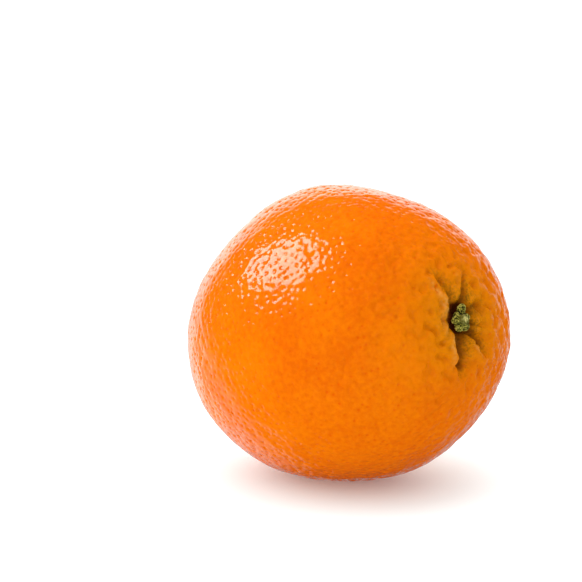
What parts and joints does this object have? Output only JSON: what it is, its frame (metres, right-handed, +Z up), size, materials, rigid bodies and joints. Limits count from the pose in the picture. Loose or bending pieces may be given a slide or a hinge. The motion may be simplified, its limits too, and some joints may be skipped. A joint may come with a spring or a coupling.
{
  "type": "orange",
  "caption": "Navel orange lying on its side, with a pebbled peel, a furrowed stem hollow holding a green calyx and a clipped stem stub, and a small closed navel at the blossom end.",
  "frame": {"origin": "middle of the bounding box's underside, on the surface that the orange lies on", "axes": "+X towards the stem end, whose axis points 14 degrees above the horizontal; +Z up"},
  "size_m": [0.0882, 0.0736, 0.074],
  "materials": {
    "peel": "waxy, pebbled with oil glands",
    "calyx_green": "dry, matt and wrinkled",
    "cut_stem": "dry, matt cut face"
  },
  "bodies": {
    "root": {"fruit": "peel", "calyx": "calyx_green", "stem_stub": "cut_stem"}
  },
  "joints": []
}
